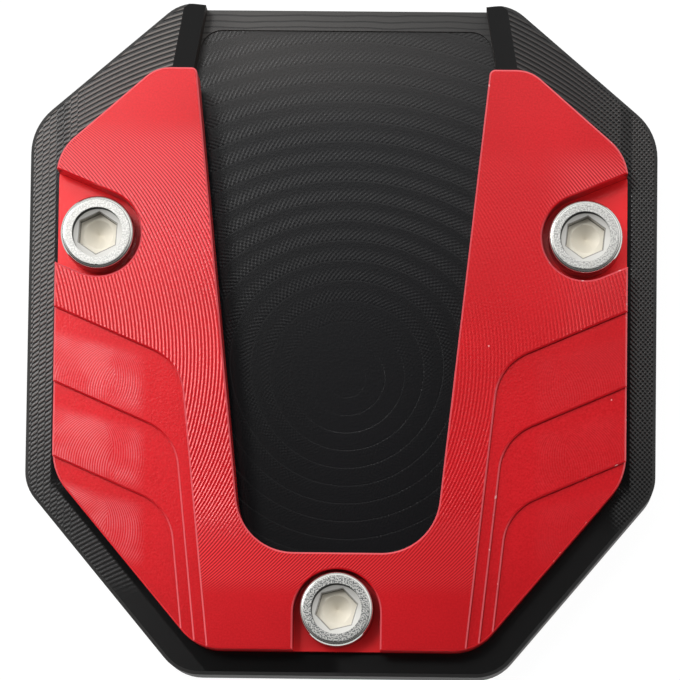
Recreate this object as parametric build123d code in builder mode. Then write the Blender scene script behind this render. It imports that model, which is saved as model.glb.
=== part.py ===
from build123d import *
import os
from math import tan, radians

# Kickstand foot enlarger: a base plate with a foot pocket, a forked clamp plate and three cap screws.
# Millimetres, +Z up, +Y towards the open mouth of the pocket, origin under the middle of the base plate.

# Base plate
base_width = 86.0
base_length = 92.4
base_rear_edge = 45.6
base_front_edge = 43.4
base_rear_bevel = 17.4
base_front_bevel = 25.4
base_rear_radius = 6.0
base_rear_side_radius = 8.0
base_front_side_radius = 5.8
base_front_radius = 6.3
base_top_break = 0.45
base_bottom_break = 0.6

# Foot pocket, milled into the base plate and open at the rear
floor_thickness = 3.9
pocket_depth = 6.6
mouth_width = 38.7
mouth_flare = 10.0
flare_length = 27.0
pocket_front_width = 33.0
pocket_front_wall = 2.3
pocket_side_radius = 12.0
pocket_front_radius = 9.0
sill_length = 2.75
sill_height = 0.4
sill_corner_radius = 3.2
lip_run = 2.8
lip_drop = 1.9

# Clamp plate outline, set in from the edges of the base plate
clamp_thickness = 7.5
clamp_side_margin = 4.15
clamp_front_margin = 3.2
clamp_rear_margin = 10.15
clamp_rear_edge = 50.9
clamp_front_edge = 37.7
clamp_rear_bevel = 11.8
clamp_front_bevel = 23.7
clamp_rear_radius = 5.0
clamp_rear_side_radius = 7.0
clamp_front_side_radius = 8.0
clamp_front_radius = 7.0
clamp_edge_break = 0.22

# Leg notch of the clamp plate
notch_rear_width = 39.95
notch_taper = 6.05
notch_web = 2.2
notch_radius = 7.8
notch_tip_radius = 0.8

# Steps milled into the top of both clamp legs
step_count = 3
step_height = 0.8
first_step_setback = 32.9
step_pitch = 10.1
step_slope = 23.4
first_step_offset = 5.9
step_offset_pitch = 1.68
step_radius = 7.0

# Cap screws
thread_diameter = 6.0
head_diameter = 10.0
head_height = 6.0
head_edge_radius = 0.65
key_size = 5.0
socket_depth = 3.0
socket_lead_in = 0.9
lead_in_slope = 15.0
mouth_depth = 0.7
drill_diameter = 3.9
drill_point_slope = 30.0
drill_tip_radius = 0.01
thread_engagement = 7.9
tip_chamfer = 0.8
side_screw_inset = 5.75
side_screw_setback = 22.8
front_screw_setback = 5.5
side_recess_angle = 22.5
front_recess_shift = 0.5
left_key_turn = 26.0
right_key_turn = 24.0
front_key_turn = 14.0

# Fits
seat_web = 2.1
recess_clearance = 0.9
shank_clearance = 0.3
thread_clearance = 0.05
tip_clearance = 1.0

# Places that follow from the sizes above
base_thickness = floor_thickness + pocket_depth
base_rear = base_length / 2
base_front = -base_length / 2
clamp_width = base_width - 2 * clamp_side_margin
clamp_rear = base_rear - clamp_rear_margin
clamp_front = base_front + clamp_front_margin
clamp_top = base_thickness + clamp_thickness
seat_height = base_thickness + seat_web
recess_radius = head_diameter / 2 + recess_clearance
tapped_radius = thread_diameter / 2 + thread_clearance
side_screw_x = clamp_width / 2 - side_screw_inset
side_screw_y = clamp_rear - side_screw_setback
front_screw_y = clamp_front + front_screw_setback
front_recess_y = front_screw_y - front_recess_shift
notch_end = front_recess_y + recess_radius + notch_web
pocket_end = front_screw_y + tapped_radius + pocket_front_wall
run_out = base_width / 4

left_place = (-side_screw_x, side_screw_y)
right_place = (side_screw_x, side_screw_y)
front_place = (0, front_screw_y)

# Each screw with the turn of its key, and each counterbore with the way that it opens to the edge
screws = [(left_place, left_key_turn), (right_place, right_key_turn), (front_place, front_key_turn)]
recesses = [
    (left_place, 180 - side_recess_angle),
    (right_place, side_recess_angle),
    ((0, front_recess_y), -90),
]


def mirrored(half):
    """Close a list of right-hand points with their mirror images on the left."""
    return half + [(-x, y) for x, y in reversed(half)]


def plate_outline(width, rear, front, rear_edge, front_edge, rear_bevel, front_bevel, radii):
    """Octagon with a rear and a front edge, two sides and four bevels, each corner with its own radius."""
    half = [
        (rear_edge / 2, rear),
        (width / 2, rear - rear_bevel),
        (width / 2, front + front_bevel),
        (front_edge / 2, front),
    ]
    with BuildSketch() as outline:
        with BuildLine():
            FilletPolyline(*mirrored(half), radius=radii + radii[::-1], close=True)
        make_face()
    return outline.sketch


def mouth_half(y):
    """Half width of the pocket between its flared mouth walls."""
    return mouth_width / 2 + (base_rear - y) * tan(radians(mouth_flare))


def pocket_outline():
    """Foot pocket: flared mouth walls, then sides that close in towards the rounded front end."""
    beyond = base_rear + run_out
    widest = base_rear - flare_length
    half = [
        (mouth_half(beyond), beyond),
        (mouth_half(widest), widest),
        (pocket_front_width / 2, pocket_end),
    ]
    radii = [0, pocket_side_radius, pocket_front_radius]
    with BuildSketch() as outline:
        with BuildLine():
            FilletPolyline(*mirrored(half), radius=radii + radii[::-1], close=True)
        make_face()
    return outline.sketch


def deep_floor_outline():
    """The part of the pocket in front of the sill, rounded where it meets the mouth walls."""
    with BuildSketch() as outline:
        add(pocket_outline())
        with Locations((0, base_rear - sill_length)):
            Rectangle(base_width, base_length, align=(Align.CENTER, Align.MAX), mode=Mode.INTERSECT)
        fillet(outline.vertices().group_by(Axis.Y)[-1], sill_corner_radius)
    return outline.sketch


def notch_half(y):
    """Half width of the leg notch."""
    return notch_rear_width / 2 - (clamp_rear - y) * tan(radians(notch_taper))


def fork_outline():
    """Clamp plate seen from above: its octagon with the tapering leg notch cut in from the rear."""
    beyond = clamp_rear + run_out
    notch = mirrored([(notch_half(beyond), beyond), (notch_half(notch_end), notch_end)])
    with BuildSketch() as outline:
        add(
            plate_outline(
                clamp_width,
                clamp_rear,
                clamp_front,
                clamp_rear_edge,
                clamp_front_edge,
                clamp_rear_bevel,
                clamp_front_bevel,
                [clamp_rear_radius, clamp_rear_side_radius, clamp_front_side_radius, clamp_front_radius],
            )
        )
        with BuildLine():
            FilletPolyline(*notch, radius=[0, notch_radius, notch_radius, 0], close=True)
        make_face(mode=Mode.SUBTRACT)
        rear_corners = outline.vertices().group_by(Axis.Y)[-1]
        fillet(rear_corners.sort_by(lambda corner: abs(corner.X))[:2], notch_tip_radius)
    return outline.sketch


def step_region(step):
    """Area outside one step line of the right leg: a sloping run from the side, then a run along the notch."""
    slope = tan(radians(step_slope))
    taper = tan(radians(notch_taper))
    side_x = clamp_width / 2
    side_y = clamp_rear - first_step_setback - step * step_pitch
    offset = first_step_offset + step * step_offset_pitch
    along = notch_half(0) + offset
    bend_y = (side_y - (side_x - along) * slope) / (1 - slope * taper)
    outer_x = side_x + run_out
    outer_y = side_y + run_out * slope
    front_y = clamp_front - run_out
    start = (outer_x, outer_y)
    bend = (along + bend_y * taper, bend_y)
    end = (along + front_y * taper, front_y)
    with BuildSketch() as region:
        with BuildLine():
            FilletPolyline(start, bend, end, radius=step_radius)
            Polyline(end, (outer_x, front_y), start)
        make_face()
    return region.sketch


def clamp_layer(step):
    """The clamp plate up to one step's height, cut back to that step's line and with its top edges broken."""
    with BuildPart() as layer:
        with BuildSketch(Plane.XY.offset(base_thickness)):
            add(fork_outline())
            if step < step_count:
                add(step_region(step), mode=Mode.SUBTRACT)
                mirror(step_region(step), about=Plane.YZ, mode=Mode.SUBTRACT)
        extrude(amount=clamp_thickness - step * step_height)
        chamfer(layer.faces().sort_by(Axis.Z)[-1].edges(), clamp_edge_break)
    return layer.part


def recess_outline(place, direction, spread=0.0):
    """Counterbore for a screw head, open to the edge of the clamp plate in one direction."""
    radius = recess_radius + spread
    with BuildSketch() as outline:
        with Locations(Location((*place, 0), (0, 0, direction))):
            Circle(radius)
            Rectangle(run_out, 2 * radius, align=(Align.MIN, Align.CENTER))
    return outline.sketch


def cap_screw(key_turn):
    """Socket cap screw, standing on the underside of its head."""
    with BuildPart() as screw:
        Cylinder(head_diameter / 2, head_height, align=(Align.CENTER, Align.CENTER, Align.MIN))
        fillet(screw.edges().group_by(Axis.Z)[-1], head_edge_radius)
        shank_length = seat_web + thread_engagement
        Cylinder(thread_diameter / 2, shank_length, align=(Align.CENTER, Align.CENTER, Align.MAX))
        chamfer(screw.edges().group_by(Axis.Z)[0], tip_chamfer)
        with BuildSketch(Plane.XY.offset(head_height)):
            RegularPolygon(key_size / 2, 6, major_radius=False, rotation=key_turn)
        extrude(amount=-socket_depth, mode=Mode.SUBTRACT)
        # Drill point at the bottom of the socket, and a straight round mouth with a shallow lead-in below it
        top_down = (Align.CENTER, Align.CENTER, Align.MAX)
        drill_radius = drill_diameter / 2
        drill_point = drill_radius * tan(radians(drill_point_slope))
        key_radius = key_size / 2
        mouth_radius = key_radius + socket_lead_in
        lead_in_depth = socket_lead_in * tan(radians(lead_in_slope))
        with Locations((0, 0, head_height - socket_depth)):
            Cone(drill_tip_radius, drill_radius, drill_point, align=top_down, mode=Mode.SUBTRACT)
        with Locations((0, 0, head_height)):
            Cylinder(mouth_radius, mouth_depth, align=top_down, mode=Mode.SUBTRACT)
        with Locations((0, 0, head_height - mouth_depth)):
            Cone(key_radius, mouth_radius, lead_in_depth, align=top_down, mode=Mode.SUBTRACT)
    return screw.part


with BuildPart() as base_plate:
    with BuildSketch():
        add(
            plate_outline(
                base_width,
                base_rear,
                base_front,
                base_rear_edge,
                base_front_edge,
                base_rear_bevel,
                base_front_bevel,
                [base_rear_radius, base_rear_side_radius, base_front_side_radius, base_front_radius],
            )
        )
    extrude(amount=base_thickness)
    chamfer(base_plate.faces().sort_by(Axis.Z)[-1].edges(), base_top_break)
    chamfer(base_plate.faces().sort_by(Axis.Z)[0].edges(), base_bottom_break)
    # Pocket down to the sill, then the deeper floor in front of it
    with BuildSketch(Plane.XY.offset(floor_thickness + sill_height)):
        add(pocket_outline())
    extrude(amount=pocket_depth, mode=Mode.SUBTRACT)
    with BuildSketch(Plane.XY.offset(floor_thickness)):
        add(deep_floor_outline())
    extrude(amount=pocket_depth, mode=Mode.SUBTRACT)
    # Wide chamfer along the top of both mouth walls
    for height, spread in ((base_thickness - lip_drop, 0), (base_thickness, lip_run)):
        beyond = base_rear + run_out
        widest = base_rear - flare_length
        with BuildSketch(Plane.XY.offset(height)):
            Polygon(
                *mirrored([(mouth_half(beyond) + spread, beyond), (mouth_half(widest) + spread, widest)]),
                align=None,
            )
    loft(mode=Mode.SUBTRACT)
    # Blind tapped holes
    with Locations(*[(*place, base_thickness) for place, turn in screws]):
        Hole(tapped_radius, depth=thread_engagement + tip_clearance)

with BuildPart() as clamp_plate:
    for step in range(step_count + 1):
        add(clamp_layer(step))
    # Open counterbores with broken rims, and the holes through their floors
    for place, direction in recesses:
        with BuildSketch(Plane.XY.offset(seat_height)):
            add(recess_outline(place, direction))
        extrude(amount=clamp_thickness, mode=Mode.SUBTRACT)
        for height, spread in ((clamp_top - clamp_edge_break, 0), (clamp_top, clamp_edge_break)):
            with BuildSketch(Plane.XY.offset(height)):
                add(recess_outline(place, direction, spread))
        loft(mode=Mode.SUBTRACT)
    with Locations(*[(*place, seat_height) for place, turn in screws]):
        Hole(thread_diameter / 2 + shank_clearance, depth=seat_web)

with BuildPart() as cap_screws:
    for place, turn in screws:
        with Locations((*place, seat_height)):
            add(cap_screw(turn))

os.makedirs("parts", exist_ok=True)
base_plate.part.label = "base_plate"
export_step(base_plate.part, "parts/base_plate.step")
clamp_plate.part.label = "clamp_plate"
export_step(clamp_plate.part, "parts/clamp_plate.step")
cap_screws.part.label = "cap_screws"
export_step(cap_screws.part, "parts/cap_screws.step")
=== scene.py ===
import math

import bpy
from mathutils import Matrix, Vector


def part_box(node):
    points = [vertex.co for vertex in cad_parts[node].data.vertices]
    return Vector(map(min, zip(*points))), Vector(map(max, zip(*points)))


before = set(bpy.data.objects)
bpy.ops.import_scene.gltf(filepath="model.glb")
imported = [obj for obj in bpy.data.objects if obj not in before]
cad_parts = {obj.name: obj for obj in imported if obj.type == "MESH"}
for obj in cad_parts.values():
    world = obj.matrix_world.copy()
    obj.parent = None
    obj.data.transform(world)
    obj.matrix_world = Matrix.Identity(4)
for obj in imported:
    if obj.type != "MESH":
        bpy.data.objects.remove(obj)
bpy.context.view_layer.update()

# Sizes and places are in millimetres of the object, with x to the right, y to the rear and z up
MM = 0.001
clamp_low, clamp_high = [[v / MM for v in corner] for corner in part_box("clamp_plate")]
base_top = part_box("base_plate")[1][2] / MM
head_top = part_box("cap_screws")[1][2] / MM

# Clamp plate: heights that part its top from the steps and the steps from the screws' seats
top_level = (clamp_high[2] - 0.3, clamp_high[2] - 0.1)
seat_level = (clamp_high[2] - 3.2, clamp_high[2] - 2.9)

# Clamp plate: steps of its legs, as they are milled
step_height = 0.8
first_step_setback = 32.9
step_pitch = 10.1

# Clamp plate: front bevels
clamp_front_edge = 37.7
clamp_front_bevel = 23.7
bevel_run = clamp_high[0] - clamp_front_edge / 2
bevel_length = math.hypot(bevel_run, clamp_front_bevel)

# Face mill on the clamp plate, and end mill on its steps
top_arc_middle = -4.0
top_arc_radius = 38.4
top_arc_pitch = 0.489
step_arc_radius = 6.2
step_arc_pitch = 0.34
step_feed = math.radians(15.0)
step_path_setback = 8.7

# Base plate: heights that part the pocket floor from the sill and the sill from the rim
floor_level = (4.05, 4.15)
sill_level = (4.6, 5.4)
rim_level = (base_top - 0.6, base_top - 0.2)

# Face mill on the base plate's rim, and the columns that break its arcs at the left
rim_arc_middle = -4.05
rim_arc_radius = 62.9
rim_arc_pitch = 0.672
first_column = 35.7
column_width = 0.94

# Toolpath on the pocket floor and on the sill
ring_middle = (0.6, -5.1)
marks_per_ring = 2.6 / 0.64
sill_line_pitch = 0.85

# Cap screws: axes, turns of their keys, the round mouth of their sockets, and the shift of the painted shade
# crescent at each mouth
side_screw = (clamp_high[0] - 5.75, clamp_high[1] - 22.8)
screw_axes = [(-side_screw[0], side_screw[1]), side_screw, (0.0, clamp_low[1] + 5.5)]
key_turns = [26.0, 24.0, 14.0]
key_half = 2.5
mouth_radius = 3.4
painted_shade_crescent_shift = (0.12, -0.18)
socket_level = (head_top - 1.2, head_top - 0.9)


def tone(red, green, blue):
    """Opaque colour."""
    return (red, green, blue, 1)


red_tones = {
    "deep": tone(0.39, 0.003, 0.006),
    "clear": tone(0.5, 0.006, 0.011),
    # front: painted shade towards the front; groove and ridge tones: painted shade and sheen of the face-mill arcs
    "front": tone(0.28, 0.002, 0.004),
    "groove": tone(0.2, 0.001, 0.003),
    "crowded groove shade": tone(0.15, 0.0005, 0.001),
    "rear ridge sheen": tone(0.75, 0.057, 0.069),
    "front ridge sheen": tone(0.69, 0.027, 0.034),
    "step score sheen": tone(0.5, 0.072, 0.086),
    "seat_painted_light": tone(0.95, 0.024, 0.03),
    "wall": tone(0.7, 0.01, 0.015),
    "shaded edge": tone(0.85, 0.012, 0.02),
    "pale edge highlight": tone(0.85, 0.12, 0.14),
    "speck": tone(0.85, 0.45, 0.45),
    "nick": tone(0.95, 0.5, 0.5),
}
black_tones = {
    "dye": tone(0.004, 0.004, 0.004),
    # worn ridge: wear with painted sheen; thin dye: painted sheen at the pocket's rear; edge: bare edges with
    # painted highlight
    "worn ridge and sheen": tone(0.15, 0.138, 0.126),
    "floor": tone(0.004, 0.0042, 0.0052),
    "rear sheen": tone(0.055, 0.052, 0.049),
    "wall": tone(0.016, 0.012, 0.009),
    "edge": tone(0.1, 0.092, 0.085),
}
steel_tones = {
    "bright": tone(0.66, 0.65, 0.62),
    # socket: painted light, lighter than the steel to lift the socket out of its shade
    "socket": tone(0.97, 0.925, 0.82),
    "lead-in": tone(0.3, 0.29, 0.27),
    "pitted": tone(0.1, 0.105, 0.105),
    # crescent: painted shade at the socket's mouth
    "painted_shade_crescent": tone(0.02, 0.02, 0.018),
    "key edge shade": tone(0.09, 0.08, 0.065),
    # wall: painted shade on the screws' walls
    "wall": tone(0.05, 0.045, 0.04),
}


class Field:
    """A number that changes over the surface, held by a shader node's output."""

    def __init__(self, finish, socket):
        self.finish = finish
        self.socket = socket

    def __add__(self, other):
        return self.finish.sum("ADD", self, other)

    def __sub__(self, other):
        return self.finish.sum("SUBTRACT", self, other)

    def __rsub__(self, other):
        return self.finish.sum("SUBTRACT", other, self)

    def __mul__(self, other):
        return self.finish.sum("MULTIPLY", self, other)

    def __truediv__(self, other):
        return self.finish.sum("DIVIDE", self, other)

    __radd__ = __add__
    __rmul__ = __mul__


class Sums:
    """Sums over a node tree's fields."""

    def __init__(self, tree):
        self.tree = tree

    def add(self, kind, **settings):
        node = self.tree.nodes.new(kind)
        for name, value in settings.items():
            setattr(node, name, value)
        return node

    def join(self, source, socket):
        """Feed a socket from a field, an output or a plain value."""
        if isinstance(source, Field):
            source = source.socket
        if isinstance(source, bpy.types.NodeSocket):
            self.tree.links.new(source, socket)
        else:
            socket.default_value = source

    def join_all(self, sources, sockets):
        for source, socket in zip(sources, sockets):
            self.join(source, socket)

    def parts(self, vector):
        split = self.add("ShaderNodeSeparateXYZ")
        self.join(vector, split.inputs[0])
        return [Field(self, output) for output in split.outputs]

    def sum(self, operation, *terms):
        node = self.add("ShaderNodeMath", operation=operation)
        self.join_all(terms, node.inputs)
        return Field(self, node.outputs[0])

    def extreme(self, operation, fields):
        """Smallest or largest of some fields, by the operation MINIMUM or MAXIMUM."""
        found = fields[0]
        for field in fields[1:]:
            found = self.sum(operation, found, field)
        return found

    def distance(self, across, along):
        return self.sum("SQRT", across * across + along * along)

    def ramp(self, field, start, end, low=0.0, high=1.0):
        """Smooth step from low to high while the field goes from start to end."""
        node = self.add("ShaderNodeMapRange", interpolation_type="SMOOTHSTEP")
        self.join_all((field, start, end, low, high), node.inputs[:5])
        return Field(self, node.outputs[0])

    def fade(self, field, start, end):
        """Smooth step from 1 down to 0 while the field goes from start to end."""
        return 1.0 - self.ramp(field, start, end)

    def band(self, field, rise, drop):
        """1 between a rise and a drop, each with its start and end, and 0 beyond them."""
        return self.ramp(field, *rise) * self.fade(field, *drop)


class Finish(Sums):
    """A metal finish: one shader, and the sums that draw tool marks on it."""

    def __init__(self, name, **shader_values):
        self.material = bpy.data.materials.new(name)
        self.material.use_nodes = True
        super().__init__(self.material.node_tree)
        self.shader = self.tree.nodes["Principled BSDF"]
        for socket, value in shader_values.items():
            self.shader.inputs[socket.replace("_", " ")].default_value = value
        place = self.add("ShaderNodeVectorMath", operation="SCALE")
        place.inputs["Scale"].default_value = 1 / MM
        self.join(self.add("ShaderNodeTexCoord").outputs["Object"], place.inputs[0])
        self.place = place.outputs[0]
        self.x, self.y, self.z = self.parts(self.place)
        _, self.back, self.up = self.parts(self.add("ShaderNodeNewGeometry").outputs["Normal"])

    def flats(self):
        """Faces that look up."""
        return self.ramp(self.up, 0.9, 0.97)

    def walls(self):
        """Upright faces."""
        return self.fade(self.sum("ABSOLUTE", self.up), 0.05, 0.3)

    def edges(self, flattest):
        """Broken edges, from the steepest slope up to the flattest one."""
        return self.band(self.up, (0.3, 0.5), flattest)

    def nearest(self, axes):
        """Distance to the nearest of some upright axes."""
        return self.extreme("MINIMUM", [self.distance(self.x - x, self.y - y) for x, y in axes])

    def across_flats(self, axes, turns):
        """Distance to the nearest of some upright axes, square to the flats of the hexagon round it."""
        spans = []
        for (x, y), turn in zip(axes, turns):
            flats = []
            for flat in (30.0, 90.0, 150.0):
                way = math.radians(turn + flat)
                across = (self.x - x) * math.cos(way) + (self.y - y) * math.sin(way)
                flats.append(self.sum("ABSOLUTE", across))
            spans.append(self.extreme("MAXIMUM", flats))
        return self.extreme("MINIMUM", spans)

    def ridges(self, turns):
        """Even ridges from -1 to 1, one for each whole turn."""
        return self.sum("COSINE", turns * math.tau)

    def grain(self, size, detail):
        """Noise from 0 to 1 with lumps of about the given size."""
        spread = self.add("ShaderNodeVectorMath", operation="DIVIDE")
        self.join(self.place, spread.inputs[0])
        spread.inputs[1].default_value = (size, size, size)
        noise = self.add("ShaderNodeTexNoise")
        noise.inputs["Scale"].default_value = 1.0
        noise.inputs["Detail"].default_value = detail
        self.join(spread.outputs[0], noise.inputs["Vector"])
        return Field(self, noise.outputs["Fac"])

    def specks(self, spacing, radius):
        """Small round dots from 0 to 1, one at random in each space."""
        spread = self.add("ShaderNodeVectorMath", operation="SCALE")
        spread.inputs["Scale"].default_value = 1 / spacing
        self.join(self.place, spread.inputs[0])
        cells = self.add("ShaderNodeTexVoronoi")
        cells.inputs["Scale"].default_value = 1.0
        self.join(spread.outputs[0], cells.inputs["Vector"])
        away = Field(self, cells.outputs["Distance"])
        return self.fade(away, radius * 0.5 / spacing, radius / spacing)

    def mill_arcs(self, along, across, radius, pitch, bow=1):
        """Ridges of a round cutter: one arc at every pitch along its path, bowed forward (1) or back (-1)."""
        share = across / radius
        flattest = 0.02
        height = self.sum("SQRT", self.sum("MAXIMUM", 1.0 - share * share, flattest))
        return self.ridges((along - height * (bow * radius)) / pitch)

    def blend(self, factor, first, second):
        """Colour between two colours."""
        node = self.add("ShaderNodeMix", data_type="RGBA")
        self.join_all((factor, first, second), (node.inputs[0], node.inputs[6], node.inputs[7]))
        return node.outputs[2]

    def finish_with(self, colour, metal, roughness, height):
        """Join the colour, the share of bare metal, the roughness and the relief to the shader."""
        relief = self.add("ShaderNodeBump")
        relief.inputs["Distance"].default_value = MM
        self.join(height, relief.inputs["Height"])
        self.join(relief.outputs["Normal"], self.shader.inputs["Normal"])
        self.join(relief.outputs["Normal"], self.shader.inputs["Coat Normal"])
        self.join(colour, self.shader.inputs["Base Color"])
        self.join(metal, self.shader.inputs["Metallic"])
        self.join(roughness, self.shader.inputs["Roughness"])
        return self.material


def top_marks(f, on_top):
    """Face-mill arcs on the clamp plate's top, their depth, and the ends where they crowd together."""
    arcs = f.mill_arcs(f.x, f.y - top_arc_middle, top_arc_radius, top_arc_pitch)
    rear_end = f.y + f.ramp(f.x, -12.0, 12.0, 0.0, 3.0)
    depth = f.fade(rear_end, 25.0, 29.5) * f.ramp(f.y, -36.0, -33.0)
    # Deepest on the left leg, and deeper again along the outer edge of the right one
    shallow = f.ramp(f.x, -12.0, 12.0) * f.ramp(f.y, -20.0, 14.0, 0.35, 0.87)
    depth = depth * (1.0 - shallow + f.ramp(f.x, 26.0, 33.0, 0.0, 0.6)) * on_top
    front_end = f.fade(f.y, -30.0, -23.0)
    crowded = front_end + f.ramp(f.y, 2.0, 18.0)
    return arcs, depth, front_end, crowded


def step_marks(f, on_steps):
    """End-mill arcs on the step floors, fed along the steps and turned about at their inner ends."""
    inward = clamp_high[0] - f.sum("ABSOLUTE", f.x)
    level = f.sum("ROUND", (clamp_high[2] - f.z) / step_height) - 1.0
    step_y = clamp_high[1] - first_step_setback - level * step_pitch
    fed = inward * math.cos(step_feed) - f.y * math.sin(step_feed)
    off_path = inward * math.sin(step_feed) + (f.y - step_y + step_path_setback) * math.cos(step_feed)
    back_cut = f.ramp(inward + f.grain(3.0, 0.0) * 4.0, 9.6, 10.0)
    arcs = f.mill_arcs(fed, off_path, step_arc_radius, step_arc_pitch, bow=-1) * (1.0 - back_cut)
    arcs = arcs + f.mill_arcs(fed, off_path, step_arc_radius, step_arc_pitch) * back_cut
    # Patchy, within the cutter's reach, and faint on the right leg
    reached = f.band(off_path, (-3.5, -1.0), (4.2, 6.0)) * f.fade(inward, 11.0, 13.0)
    patchy = f.ramp(f.grain(4.0, 1.0), 0.35, 0.6, 0.55, 1.0)
    scored = reached * patchy * on_steps * f.ramp(f.x, -5.0, 5.0, 1.0, 0.15)
    return arcs, scored


def red_anodise():
    """Clamp plate: red dye over face-mill arcs on the top, end-mill arcs on the steps, pale broken edges, with
    painted sheen and shade on the arcs, the edges, the seats and towards the front.
    """
    f = Finish("red_anodise", Specular_IOR_Level=0.0, Coat_Weight=0.7, Coat_Roughness=0.16)
    flat = f.flats()
    edge = f.edges((0.85, 0.93))
    wall = f.walls()
    seat_painted_light = f.fade(f.z, *seat_level) * flat
    arcs, depth, front_end, crowded = top_marks(f, f.ramp(f.z, *top_level) * flat)
    step_arcs, scored = step_marks(f, f.band(f.z, seat_level, top_level) * flat)

    # Relief: the arcs are shallower where they crowd together
    arc_height = f.ramp(f.y, -22.0, 8.0, 0.0046, 0.0062) - crowded * 0.0024 - front_end * 0.0013
    height = arcs * depth * arc_height + step_arcs * scored * 0.002
    height = height + (f.grain(0.12, 3.0) - 0.5) * 0.003 + (f.grain(0.3, 1.0) - 0.5) * 0.007

    # Dye: mottled, with painted shade darker towards the front, painted shade in the arcs' grooves, and painted
    # sheen on their ridges where the arcs crowd together
    mottle = f.grain(14.0, 2.0) * 0.4 + f.grain(0.25, 1.0) * 0.6
    colour = f.blend(f.ramp(mottle, 0.3, 0.7), red_tones["deep"], red_tones["clear"])
    colour = f.blend(f.fade(f.y, -42.0, -12.0) * 0.25, colour, red_tones["front"])
    groove_shade = f.blend(crowded, red_tones["groove"], red_tones["crowded groove shade"])
    colour = f.blend((0.5 - arcs * 0.5) * depth * (0.25 + crowded * 0.75), colour, groove_shade)
    ridge_sheen = f.blend(front_end, red_tones["rear ridge sheen"], red_tones["front ridge sheen"])
    colour = f.blend((0.5 + arcs * 0.5) * depth * crowded * 0.95, colour, ridge_sheen)
    # Pale scored arcs on the steps: tool marks, lightened with painted sheen
    colour = f.blend((step_arcs * 0.5 + 0.36) * scored, colour, red_tones["step score sheen"])
    # Painted light: the screws' seats are lighter, lifted out of their recesses' shade
    colour = f.blend(seat_painted_light, colour, red_tones["seat_painted_light"])
    colour = f.blend(wall, colour, red_tones["wall"])

    # Broken edges are pale, partly bare chamfers and partly a painted highlight; the ones that face forward are kept
    # darker as painted shade
    edge_highlight_and_shade = f.blend(f.ramp(f.back, -0.5, -0.1), red_tones["shaded edge"], red_tones["pale edge highlight"])
    colour = f.blend(edge * 0.75, colour, edge_highlight_and_shade)

    # Wear: a few pale specks on the flats, and nicks in the right leg's edges
    specked = f.specks(5.0, 0.16) * f.ramp(f.grain(9.0, 0.0), 0.5, 0.55)
    specked = specked * f.ramp(f.x, -30.0, 20.0, 0.3, 1.0) * flat
    colour = f.blend(specked * 0.7, colour, red_tones["speck"])
    nicked = edge * f.ramp(f.grain(0.9, 1.0), 0.68, 0.73) * f.ramp(f.x, 17.0, 21.0)
    colour = f.blend(nicked * 0.8, colour, red_tones["nick"])

    metal = 0.78 - edge * 0.7 - seat_painted_light * 0.65 - wall * 0.5
    return f.finish_with(colour, metal, 0.36, height)


def rim_arcs(f, side, left):
    """Face-mill arcs on the rim, broken into columns at the left and crossed by a second set at the right."""
    broken = f.sum("GREATER_THAN", side, first_column) * left
    column = (side - first_column) / column_width
    shift = f.sum("FLOOR", column) * broken * 0.5
    seam = f.ramp(f.sum("ABSOLUTE", f.sum("FRACT", column) - 0.5), 0.34, 0.5) * broken
    across = f.x - rim_arc_middle
    arcs = f.mill_arcs(f.y + shift * rim_arc_pitch, across, rim_arc_radius, rim_arc_pitch)
    crossing = f.mill_arcs(f.y, across, rim_arc_radius, rim_arc_pitch, bow=-1)
    return arcs * (1.0 - seam * 0.6) + crossing * f.ramp(f.x, 28.0, 40.0, 0.0, 0.42)


def smooth_strip(f, side, left):
    """Unmarked strip beside the clamp plate and along its front bevels, and the whole of it with the front right."""
    past_bevel = (side - clamp_high[0]) * (clamp_front_bevel / bevel_length)
    past_bevel = past_bevel - (f.y - clamp_low[1] - clamp_front_bevel) * (bevel_run / bevel_length)
    ahead = f.fade(f.y, -22.0, -19.0)
    beside = f.band(side, (37.6, 38.2), (39.4, 39.6)) * f.ramp(f.y, 20.0, 26.0, 1.0, 0.4) * (1.0 - ahead)
    along_bevel = f.fade(past_bevel, 0.8, 1.2) * ahead
    front_right = f.fade(f.x, 36.5, 38.0) * (1.0 - left) * ahead
    return beside, along_bevel, f.extreme("MAXIMUM", [beside, along_bevel, front_right])


def pocket_rings(f):
    """Rings of the pocket's toolpath: their count from the middle, the way across each, and feed marks along it."""
    ring_x = (f.x - ring_middle[0]) / f.ramp(f.y, -20.0, 25.0, 1.0, 1.12)
    ring_y = f.y - ring_middle[1]
    ring = f.distance(ring_x, ring_y) / f.ramp(f.y, -15.0, 10.0, 2.45, 2.77)
    share = f.sum("FRACT", ring)
    around = f.sum("ARCTAN2", ring_x, ring_y) * f.sum("CEIL", ring) * marks_per_ring
    slant = share * marks_per_ring
    return ring, share, f.ridges(around + slant) + f.ridges(around - slant)


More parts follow.
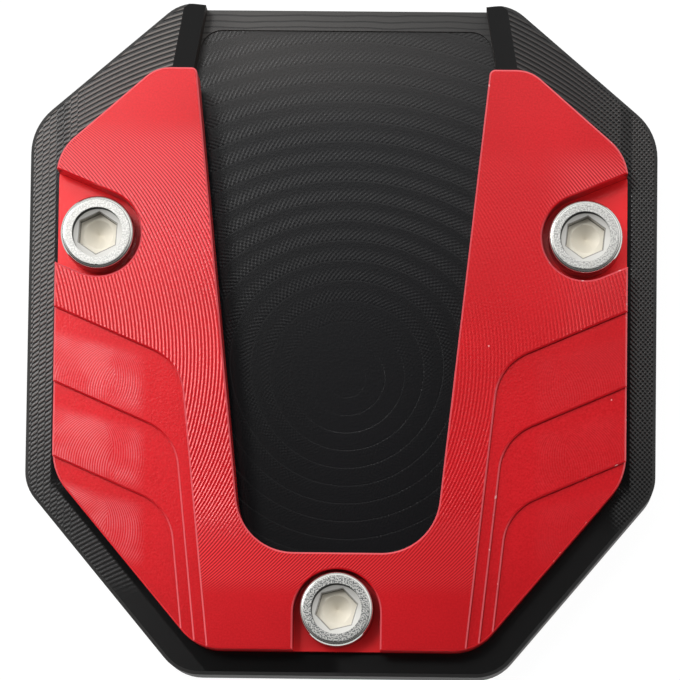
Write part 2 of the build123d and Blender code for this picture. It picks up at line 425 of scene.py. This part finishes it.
def black_anodise():
    """Base plate: black dye over face-mill arcs on the rim, rings on the pocket floor and lines on the sill, with
    painted sheen towards the left and rear.
    """
    f = Finish("black_anodise", Specular_IOR_Level=0.34)
    flat = f.flats()
    edge = f.edges((0.74, 0.8))
    wall = f.walls()
    rim = f.ramp(f.z, *rim_level) * flat
    floor = f.fade(f.z, *floor_level) * flat
    sill = f.band(f.z, floor_level, sill_level) * flat
    side = f.sum("ABSOLUTE", f.x)
    left = f.fade(f.x, -1.0, 1.0)

    # The rim's arcs end before the front, and sooner on the right
    beside, along_bevel, strip = smooth_strip(f, side, left)
    marked = f.ramp(f.y - f.ramp(f.x, -10.0, 10.0, -34.5, -26.0), -1.5, 2.0)
    rim_marks = rim_arcs(f, side, left) * (1.0 - strip) * rim * marked * f.ramp(f.y, -30.0, 0.0, 0.5, 1.0)

    # The pocket's rings and feed marks are faint near their middle and towards the front
    ring, share, feed_marks = pocket_rings(f)
    hatched = f.fade(share, 0.3, 0.7) * f.ramp(f.y, -25.0, 30.0, 0.35, 1.0) * f.ramp(ring, 1.0, 5.0) * floor
    groove = f.ramp(f.sum("ABSOLUTE", share - 0.5), 0.43, 0.5)
    rings = groove * f.ramp(f.x, -12.0, 8.0, 0.001, 0.0018) + share * 0.003
    rings = rings * f.ramp(ring, 1.5, 6.0, 0.2, 1.0)
    sill_lines = f.ramp(f.ridges(f.y / sill_line_pitch + f.grain(8.0, 1.0) * 0.9), 0.5, 1.0)

    # Relief
    fine = f.grain(0.1, 2.0) - 0.5
    height = rim_marks * (0.009 - left * 0.004) + feed_marks * hatched * 0.0014
    height = height - rings * floor - sill_lines * sill * 0.006
    height = height + fine * (0.0012 + rim * 0.002) + (f.grain(0.35, 2.0) - 0.5) * floor * 0.0035

    # Dye: worn off the rim's ridges, paler there with painted sheen towards the left and rear; painted sheen also
    # lightens the rear of the pocket and the sill
    worn_and_sheen = f.ramp(rim_marks - (1.0 - left) * 0.2, -0.1, 0.9) * rim * marked * (1.0 - strip)
    worn_and_sheen = worn_and_sheen * f.ramp(f.y, -38.0, 20.0, 0.1, 1.0) * (0.3 + left * 0.7)
    colour = f.blend(worn_and_sheen, black_tones["dye"], black_tones["worn ridge and sheen"])
    colour = f.blend(floor, colour, black_tones["floor"])
    rear_sheen = floor * 0.55 + sill * (1.0 - sill_lines * 0.8)
    rear_sheen = rear_sheen * f.ramp(f.y, 26.0, 42.0) * f.ramp(f.x, -20.0, 25.0, 1.0, 0.4)
    colour = f.blend(rear_sheen, colour, black_tones["rear sheen"])
    colour = f.blend(wall, colour, black_tones["wall"])
    # Pale edges: bare edges, made paler on the left by painted highlight
    colour = f.blend(edge * (0.06 + left * 0.1), colour, black_tones["edge"])

    # Gloss: duller where it is marked, and dullest on the walls
    roughness = 0.14 + rim * marked * (1.0 - strip) * 0.05 + rim * (1.0 - marked) * 0.03
    roughness = roughness - (beside + along_bevel * left) * rim * 0.05
    roughness = roughness + hatched * f.ramp(f.y, 0.0, 20.0) * 0.035 + sill * 0.16
    roughness = roughness + edge * 0.3 + wall * 0.48 + fine * 0.04
    return f.finish_with(colour, 0.0, roughness, height)


def stainless():
    """Cap screws: bright steel, polished round the rim, with a pitted face, a rough socket painted lighter against
    its shade, and painted shade on the walls, the key's edge and the socket's mouth.
    """
    f = Finish("stainless")
    shallow = (0.975, 0.99)
    high = f.ramp(f.z, head_top - 0.1, head_top - 0.02)
    face = f.ramp(f.up, 0.97, 0.995) * high
    burr = f.band(f.up, (0.9, 0.94), shallow) * high
    lead_in = f.band(f.up, (0.94, 0.955), shallow) * (1.0 - high)
    socket = f.ramp(f.up, 0.8, 0.86) * f.fade(f.z, *socket_level)
    pits = f.ramp(f.grain(0.2, 2.0), 0.4, 0.58)
    # Painted light: the socket is coloured lighter than the steel, against the shade of its walls
    colour = f.blend(socket, steel_tones["bright"], steel_tones["socket"])
    colour = f.blend(lead_in * 0.15, colour, steel_tones["lead-in"])

    # The face is darker on the right screw, and darkest on the front one
    face_darkening = f.ramp(f.y, -30.0, -20.0, 1.0, f.ramp(f.x, -30.0, 30.0, 0.5, 0.66))
    colour = f.blend(face * (1.0 - pits * 0.6) * face_darkening + burr * 0.6, colour, steel_tones["pitted"])

    # Painted shade: a dark crescent at the left and rear of the socket's mouth, where its wall shades and darkly
    # reflects
    from_axis = f.nearest(screw_axes)
    from_right = f.nearest([(x + painted_shade_crescent_shift[0], y + painted_shade_crescent_shift[1]) for x, y in screw_axes])
    painted_shade_crescent = f.ramp(from_right, mouth_radius - 0.04, mouth_radius + 0.06)
    painted_shade_crescent = painted_shade_crescent * f.fade(from_axis, mouth_radius, mouth_radius + 0.1)
    colour = f.blend(painted_shade_crescent * 0.9, colour, steel_tones["painted_shade_crescent"])

    # Painted shade: a dark line where the key's flats begin
    flats = f.across_flats(screw_axes, key_turns)
    key_edge_shade = f.band(flats, (key_half - 0.1, key_half - 0.04), (key_half + 0.08, key_half + 0.16))
    colour = f.blend(key_edge_shade * 0.6, colour, steel_tones["key edge shade"])

    # Painted shade: walls are darkened round the head and near the top of the socket
    inside = f.fade(from_axis, mouth_radius - 0.2, mouth_radius - 0.1)
    painted_wall_shade = f.ramp(f.z, *socket_level, 0.6, 0.95) * (1.0 - inside)
    painted_wall_shade = painted_wall_shade + f.ramp(f.z, head_top - 1.9, head_top - 1.5, 0.15, 0.85) * inside
    colour = f.blend(f.walls() * painted_wall_shade, colour, steel_tones["wall"])

    height = (pits - 0.5) * face * 0.01 + (f.grain(0.06, 1.0) - 0.5) * 0.001
    roughness = 0.2 + face * 0.13 + socket * 0.5 + lead_in * 0.42
    return f.finish_with(colour, 1.0, roughness, height)


def dress(node, material):
    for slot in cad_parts[node].material_slots:
        slot.material = material


dress("base_plate", black_anodise())
dress("clamp_plate", red_anodise())
dress("cap_screws", stainless())


def white_floor():
    """Pale studio floor, white to the camera and in reflections, which still takes the object's shadow."""
    material = bpy.data.materials.new("white_floor")
    material.use_nodes = True
    f = Sums(material.node_tree)
    f.tree.nodes.clear()
    light = f.add("ShaderNodeLightPath")
    seen = f.sum("MAXIMUM", light.outputs["Is Camera Ray"], light.outputs["Is Glossy Ray"])
    paper = f.add("ShaderNodeBsdfDiffuse")
    paper.inputs["Color"].default_value = tone(0.85, 0.85, 0.85)
    glow = f.add("ShaderNodeEmission")
    glow.inputs["Strength"].default_value = 1.08
    mix = f.add("ShaderNodeMixShader")
    f.join_all((seen * 0.88, paper.outputs[0], glow.outputs[0]), mix.inputs)
    f.join(mix.outputs[0], f.add("ShaderNodeOutputMaterial").inputs["Surface"])
    return material


floor_reach = 2.0
floor_drop = 0.0001
floor_corners = [(-1, -1), (1, -1), (1, 1), (-1, 1)]
floor_mesh = bpy.data.meshes.new("floor")
floor_mesh.from_pydata([(x * floor_reach, y * floor_reach, 0) for x, y in floor_corners], [], [(0, 1, 2, 3)])
floor_mesh.materials.append(white_floor())
floor = bpy.data.objects.new("floor", floor_mesh)
floor.location.z = -floor_drop
bpy.context.collection.objects.link(floor)


def soft_lamp(name, place, size, power):
    """Square soft box that faces the object."""
    lamp = bpy.data.lights.new(name, "AREA")
    lamp.shape = "SQUARE"
    lamp.size = size
    lamp.energy = power
    holder = bpy.data.objects.new(name, lamp)
    holder.location = place
    bpy.context.collection.objects.link(holder)
    holder.rotation_euler = holder.location.to_track_quat("Z", "Y").to_euler()


soft_lamp("left_box", (-0.24, 0.09, 0.24), 0.16, 0.3)
soft_lamp("high_box", (-1.3, 1.05, 6.0), 0.9, 45.0)


def white_studio():
    """White tent round the object, dark where the camera looks in, and plain white behind the object."""
    world = bpy.data.worlds.new("studio")
    world.use_nodes = True
    f = Sums(world.node_tree)
    tent = f.tree.nodes["Background"]
    x, y, z = f.parts(f.add("ShaderNodeTexCoord").outputs["Generated"])
    opening = f.distance((x - 0.02) / 1.5, y + 0.1)
    level = f.ramp(opening, 0.235, 0.265, 0.03, 0.9)
    level = level * f.ramp(z, 0.36, 0.58, 0.35, 1.0) * f.ramp(y, -0.6, 0.4, 0.2, 1.9)
    backdrop = f.add("ShaderNodeLightPath").outputs["Is Camera Ray"]
    f.join(f.sum("MAXIMUM", level, backdrop), tent.inputs["Strength"])
    tent.inputs["Color"].default_value = tone(1, 1, 1)
    bpy.context.scene.world = world


white_studio()

camera_data = bpy.data.cameras.new("camera")
camera_data.sensor_width = 36.0
camera_data.lens = 290.45
camera_data.clip_end = 10.0
camera = bpy.data.objects.new("camera", camera_data)
camera.location = (0.021463, -0.079447, 0.755804)
camera.rotation_euler = (0.1061, 0.0277, 0.0127)
bpy.context.collection.objects.link(camera)
bpy.context.scene.camera = camera
bpy.context.scene.view_settings.view_transform = "Standard"
